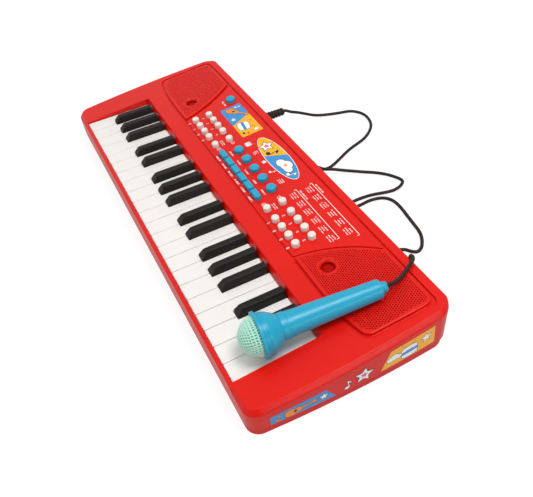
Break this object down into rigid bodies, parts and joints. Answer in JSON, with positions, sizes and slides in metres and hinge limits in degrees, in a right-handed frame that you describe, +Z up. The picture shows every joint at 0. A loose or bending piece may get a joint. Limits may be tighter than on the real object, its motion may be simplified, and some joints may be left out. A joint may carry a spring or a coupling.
{
  "type": "toy electronic keyboard",
  "caption": "Toy electronic keyboard in a moulded case, with hinged keys, push buttons, speaker grilles, a battery door and a corded microphone.",
  "frame": {"origin": "centre of the foot in the middle of the case's underside, on the table", "axes": "+X along the keys towards the treble end, +Y away from the player, +Z up"},
  "size_m": [0.4292, 0.2703, 0.0601],
  "materials": {
    "case_red": "satin moulded",
    "lower_red": "satin moulded",
    "key_white": "satin moulded",
    "key_black": "satin moulded",
    "sky_blue": "satin moulded",
    "button_white": "satin moulded",
    "mint": "moulded",
    "black_rubber": "matte",
    "grey_rubber": "matte",
    "board_green": "solder mask",
    "steel": "plated",
    "frame_metal": "stamped",
    "cell_wrap": "printed wrap",
    "label_film": "printed film"
  },
  "bodies": {
    "case": {"upper_case": "case_red", "lower_case": "lower_red", "contact_rubbers": "grey_rubber", "circuit_boards": "board_green", "speaker_frames": "frame_metal", "speaker_cones": "black_rubber", "battery_cells": "cell_wrap", "battery_contacts": "steel", "mic_jack": "black_rubber", "mic_plug": "black_rubber", "mic_cable": "black_rubber", "case_screws": "steel", "labels": "label_film"},
    "battery_door": {"battery_door": "lower_red", "battery_door_screw": "steel"},
    "power_button": {"power_button": "sky_blue"},
    "number_buttons_bass": {"number_buttons_bass": "button_white"},
    "number_buttons_treble": {"number_buttons_treble": "button_white"},
    "round_pads": {"round_pads": "sky_blue"},
    "bar_buttons": {"bar_buttons": "sky_blue"},
    "white_key_01": {"white_key_01": "key_white"},
    "white_key_02": {"white_key_02": "key_white"},
    "white_key_03": {"white_key_03": "key_white"},
    "white_key_04": {"white_key_04": "key_white"},
    "white_key_05": {"white_key_05": "key_white"},
    "white_key_06": {"white_key_06": "key_white"},
    "white_key_07": {"white_key_07": "key_white"},
    "white_key_08": {"white_key_08": "key_white"},
    "white_key_09": {"white_key_09": "key_white"},
    "white_key_10": {"white_key_10": "key_white"},
    "white_key_11": {"white_key_11": "key_white"},
    "white_key_12": {"white_key_12": "key_white"},
    "white_key_13": {"white_key_13": "key_white"},
    "white_key_14": {"white_key_14": "key_white"},
    "white_key_15": {"white_key_15": "key_white"},
    "white_key_16": {"white_key_16": "key_white"},
    "white_key_17": {"white_key_17": "key_white"},
    "white_key_18": {"white_key_18": "key_white"},
    "white_key_19": {"white_key_19": "key_white"},
    "white_key_20": {"white_key_20": "key_white"},
    "white_key_21": {"white_key_21": "key_white"},
    "white_key_22": {"white_key_22": "key_white"},
    "black_key_01": {"black_key_01": "key_black"},
    "black_key_02": {"black_key_02": "key_black"},
    "black_key_03": {"black_key_03": "key_black"},
    "black_key_04": {"black_key_04": "key_black"},
    "black_key_05": {"black_key_05": "key_black"},
    "black_key_06": {"black_key_06": "key_black"},
    "black_key_07": {"black_key_07": "key_black"},
    "black_key_08": {"black_key_08": "key_black"},
    "black_key_09": {"black_key_09": "key_black"},
    "black_key_10": {"black_key_10": "key_black"},
    "black_key_11": {"black_key_11": "key_black"},
    "black_key_12": {"black_key_12": "key_black"},
    "black_key_13": {"black_key_13": "key_black"},
    "black_key_14": {"black_key_14": "key_black"},
    "black_key_15": {"black_key_15": "key_black"},
    "microphone": {"mic_handle": "sky_blue", "mic_ball": "mint", "mic_capsule": "frame_metal"}
  },
  "joints": [
    {"name": "battery_door_swing", "type": "hinge", "parent": "case", "child": "battery_door", "pos_m": [0.052, 0.0725, 0.0027], "axis": [1, 0, 0], "range_deg": [0, 80]},
    {"name": "power_button_press", "type": "slide", "parent": "case", "child": "power_button", "axis": [0, 0.075, -0.9972], "range_m": [0, 0.0012], "stiffness_N_per_m": 600, "springref_m": -0.001},
    {"name": "number_buttons_bass_press", "type": "slide", "parent": "case", "child": "number_buttons_bass", "axis": [0, 0.075, -0.9972], "range_m": [0, 0.0012], "stiffness_N_per_m": 600, "springref_m": -0.001},
    {"name": "number_buttons_treble_press", "type": "slide", "parent": "case", "child": "number_buttons_treble", "axis": [0, 0.075, -0.9972], "range_m": [0, 0.0012], "stiffness_N_per_m": 600, "springref_m": -0.001},
    {"name": "round_pads_press", "type": "slide", "parent": "case", "child": "round_pads", "axis": [0, 0.075, -0.9972], "range_m": [0, 0.0012], "stiffness_N_per_m": 600, "springref_m": -0.001},
    {"name": "bar_buttons_press", "type": "slide", "parent": "case", "child": "bar_buttons", "axis": [0, 0.075, -0.9972], "range_m": [0, 0.0012], "stiffness_N_per_m": 600, "springref_m": -0.001},
    {"name": "white_key_01_press", "type": "hinge", "parent": "case", "child": "white_key_01", "pos_m": [-0.17325, 0.00555, 0.022], "axis": [1, 0, 0], "range_deg": [0, 2.81], "stiffness_Nm_per_rad": 0.4, "springref_deg": -2.86},
    {"name": "white_key_02_press", "type": "hinge", "parent": "case", "child": "white_key_02", "pos_m": [-0.15675, 0.00555, 0.022], "axis": [1, 0, 0], "range_deg": [0, 2.81], "stiffness_Nm_per_rad": 0.4, "springref_deg": -2.86},
    {"name": "white_key_03_press", "type": "hinge", "parent": "case", "child": "white_key_03", "pos_m": [-0.14025, 0.00555, 0.022], "axis": [1, 0, 0], "range_deg": [0, 2.81], "stiffness_Nm_per_rad": 0.4, "springref_deg": -2.86},
    {"name": "white_key_04_press", "type": "hinge", "parent": "case", "child": "white_key_04", "pos_m": [-0.12375, 0.00555, 0.022], "axis": [1, 0, 0], "range_deg": [0, 2.81], "stiffness_Nm_per_rad": 0.4, "springref_deg": -2.86},
    {"name": "white_key_05_press", "type": "hinge", "parent": "case", "child": "white_key_05", "pos_m": [-0.10725, 0.00555, 0.022], "axis": [1, 0, 0], "range_deg": [0, 2.81], "stiffness_Nm_per_rad": 0.4, "springref_deg": -2.86},
    {"name": "white_key_06_press", "type": "hinge", "parent": "case", "child": "white_key_06", "pos_m": [-0.09075, 0.00555, 0.022], "axis": [1, 0, 0], "range_deg": [0, 2.81], "stiffness_Nm_per_rad": 0.4, "springref_deg": -2.86},
    {"name": "white_key_07_press", "type": "hinge", "parent": "case", "child": "white_key_07", "pos_m": [-0.07425, 0.00555, 0.022], "axis": [1, 0, 0], "range_deg": [0, 2.81], "stiffness_Nm_per_rad": 0.4, "springref_deg": -2.86},
    {"name": "white_key_08_press", "type": "hinge", "parent": "case", "child": "white_key_08", "pos_m": [-0.05775, 0.00555, 0.022], "axis": [1, 0, 0], "range_deg": [0, 2.81], "stiffness_Nm_per_rad": 0.4, "springref_deg": -2.86},
    {"name": "white_key_09_press", "type": "hinge", "parent": "case", "child": "white_key_09", "pos_m": [-0.04125, 0.00555, 0.022], "axis": [1, 0, 0], "range_deg": [0, 2.81], "stiffness_Nm_per_rad": 0.4, "springref_deg": -2.86},
    {"name": "white_key_10_press", "type": "hinge", "parent": "case", "child": "white_key_10", "pos_m": [-0.02475, 0.00555, 0.022], "axis": [1, 0, 0], "range_deg": [0, 2.81], "stiffness_Nm_per_rad": 0.4, "springref_deg": -2.86},
    {"name": "white_key_11_press", "type": "hinge", "parent": "case", "child": "white_key_11", "pos_m": [-0.00825, 0.00555, 0.022], "axis": [1, 0, 0], "range_deg": [0, 2.81], "stiffness_Nm_per_rad": 0.4, "springref_deg": -2.86},
    {"name": "white_key_12_press", "type": "hinge", "parent": "case", "child": "white_key_12", "pos_m": [0.00825, 0.00555, 0.022], "axis": [1, 0, 0], "range_deg": [0, 2.81], "stiffness_Nm_per_rad": 0.4, "springref_deg": -2.86},
    {"name": "white_key_13_press", "type": "hinge", "parent": "case", "child": "white_key_13", "pos_m": [0.02475, 0.00555, 0.022], "axis": [1, 0, 0], "range_deg": [0, 2.81], "stiffness_Nm_per_rad": 0.4, "springref_deg": -2.86},
    {"name": "white_key_14_press", "type": "hinge", "parent": "case", "child": "white_key_14", "pos_m": [0.04125, 0.00555, 0.022], "axis": [1, 0, 0], "range_deg": [0, 2.81], "stiffness_Nm_per_rad": 0.4, "springref_deg": -2.86},
    {"name": "white_key_15_press", "type": "hinge", "parent": "case", "child": "white_key_15", "pos_m": [0.05775, 0.00555, 0.022], "axis": [1, 0, 0], "range_deg": [0, 2.81], "stiffness_Nm_per_rad": 0.4, "springref_deg": -2.86},
    {"name": "white_key_16_press", "type": "hinge", "parent": "case", "child": "white_key_16", "pos_m": [0.07425, 0.00555, 0.022], "axis": [1, 0, 0], "range_deg": [0, 2.81], "stiffness_Nm_per_rad": 0.4, "springref_deg": -2.86},
    {"name": "white_key_17_press", "type": "hinge", "parent": "case", "child": "white_key_17", "pos_m": [0.09075, 0.00555, 0.022], "axis": [1, 0, 0], "range_deg": [0, 2.81], "stiffness_Nm_per_rad": 0.4, "springref_deg": -2.86},
    {"name": "white_key_18_press", "type": "hinge", "parent": "case", "child": "white_key_18", "pos_m": [0.10725, 0.00555, 0.022], "axis": [1, 0, 0], "range_deg": [0, 2.81], "stiffness_Nm_per_rad": 0.4, "springref_deg": -2.86},
    {"name": "white_key_19_press", "type": "hinge", "parent": "case", "child": "white_key_19", "pos_m": [0.12375, 0.00555, 0.022], "axis": [1, 0, 0], "range_deg": [0, 2.81], "stiffness_Nm_per_rad": 0.4, "springref_deg": -2.86},
    {"name": "white_key_20_press", "type": "hinge", "parent": "case", "child": "white_key_20", "pos_m": [0.14025, 0.00555, 0.022], "axis": [1, 0, 0], "range_deg": [0, 2.81], "stiffness_Nm_per_rad": 0.4, "springref_deg": -2.86},
    {"name": "white_key_21_press", "type": "hinge", "parent": "case", "child": "white_key_21", "pos_m": [0.15675, 0.00555, 0.022], "axis": [1, 0, 0], "range_deg": [0, 2.81], "stiffness_Nm_per_rad": 0.4, "springref_deg": -2.86},
    {"name": "white_key_22_press", "type": "hinge", "parent": "case", "child": "white_key_22", "pos_m": [0.17325, 0.00555, 0.022], "axis": [1, 0, 0], "range_deg": [0, 2.81], "stiffness_Nm_per_rad": 0.4, "springref_deg": -2.86},
    {"name": "black_key_01_press", "type": "hinge", "parent": "case", "child": "black_key_01", "pos_m": [-0.1674, 0.00555, 0.022], "axis": [1, 0, 0], "range_deg": [0, 2.81], "stiffness_Nm_per_rad": 0.4, "springref_deg": -2.86},
    {"name": "black_key_02_press", "type": "hinge", "parent": "case", "child": "black_key_02", "pos_m": [-0.1486, 0.00555, 0.022], "axis": [1, 0, 0], "range_deg": [0, 2.81], "stiffness_Nm_per_rad": 0.4, "springref_deg": -2.86},
    {"name": "black_key_03_press", "type": "hinge", "parent": "case", "child": "black_key_03", "pos_m": [-0.1296, 0.00555, 0.022], "axis": [1, 0, 0], "range_deg": [0, 2.81], "stiffness_Nm_per_rad": 0.4, "springref_deg": -2.86},
    {"name": "black_key_04_press", "type": "hinge", "parent": "case", "child": "black_key_04", "pos_m": [-0.1005, 0.00555, 0.022], "axis": [1, 0, 0], "range_deg": [0, 2.81], "stiffness_Nm_per_rad": 0.4, "springref_deg": -2.86},
    {"name": "black_key_05_press", "type": "hinge", "parent": "case", "child": "black_key_05", "pos_m": [-0.0809, 0.00555, 0.022], "axis": [1, 0, 0], "range_deg": [0, 2.81], "stiffness_Nm_per_rad": 0.4, "springref_deg": -2.86},
    {"name": "black_key_06_press", "type": "hinge", "parent": "case", "child": "black_key_06", "pos_m": [-0.0519, 0.00555, 0.022], "axis": [1, 0, 0], "range_deg": [0, 2.81], "stiffness_Nm_per_rad": 0.4, "springref_deg": -2.86},
    {"name": "black_key_07_press", "type": "hinge", "parent": "case", "child": "black_key_07", "pos_m": [-0.0331, 0.00555, 0.022], "axis": [1, 0, 0], "range_deg": [0, 2.81], "stiffness_Nm_per_rad": 0.4, "springref_deg": -2.86},
    {"name": "black_key_08_press", "type": "hinge", "parent": "case", "child": "black_key_08", "pos_m": [-0.0141, 0.00555, 0.022], "axis": [1, 0, 0], "range_deg": [0, 2.81], "stiffness_Nm_per_rad": 0.4, "springref_deg": -2.86},
    {"name": "black_key_09_press", "type": "hinge", "parent": "case", "child": "black_key_09", "pos_m": [0.015, 0.00555, 0.022], "axis": [1, 0, 0], "range_deg": [0, 2.81], "stiffness_Nm_per_rad": 0.4, "springref_deg": -2.86},
    {"name": "black_key_10_press", "type": "hinge", "parent": "case", "child": "black_key_10", "pos_m": [0.0346, 0.00555, 0.022], "axis": [1, 0, 0], "range_deg": [0, 2.81], "stiffness_Nm_per_rad": 0.4, "springref_deg": -2.86},
    {"name": "black_key_11_press", "type": "hinge", "parent": "case", "child": "black_key_11", "pos_m": [0.0636, 0.00555, 0.022], "axis": [1, 0, 0], "range_deg": [0, 2.81], "stiffness_Nm_per_rad": 0.4, "springref_deg": -2.86},
    {"name": "black_key_12_press", "type": "hinge", "parent": "case", "child": "black_key_12", "pos_m": [0.0824, 0.00555, 0.022], "axis": [1, 0, 0], "range_deg": [0, 2.81], "stiffness_Nm_per_rad": 0.4, "springref_deg": -2.86},
    {"name": "black_key_13_press", "type": "hinge", "parent": "case", "child": "black_key_13", "pos_m": [0.1014, 0.00555, 0.022], "axis": [1, 0, 0], "range_deg": [0, 2.81], "stiffness_Nm_per_rad": 0.4, "springref_deg": -2.86},
    {"name": "black_key_14_press", "type": "hinge", "parent": "case", "child": "black_key_14", "pos_m": [0.1305, 0.00555, 0.022], "axis": [1, 0, 0], "range_deg": [0, 2.81], "stiffness_Nm_per_rad": 0.4, "springref_deg": -2.86},
    {"name": "black_key_15_press", "type": "hinge", "parent": "case", "child": "black_key_15", "pos_m": [0.1501, 0.00555, 0.022], "axis": [1, 0, 0], "range_deg": [0, 2.81], "stiffness_Nm_per_rad": 0.4, "springref_deg": -2.86},
    {"name": "microphone_lift", "type": "slide", "parent": "case", "child": "microphone", "axis": [0, 0, 1], "range_m": [0, 0.04], "deforming": ["mic_cable"]}
  ]
}
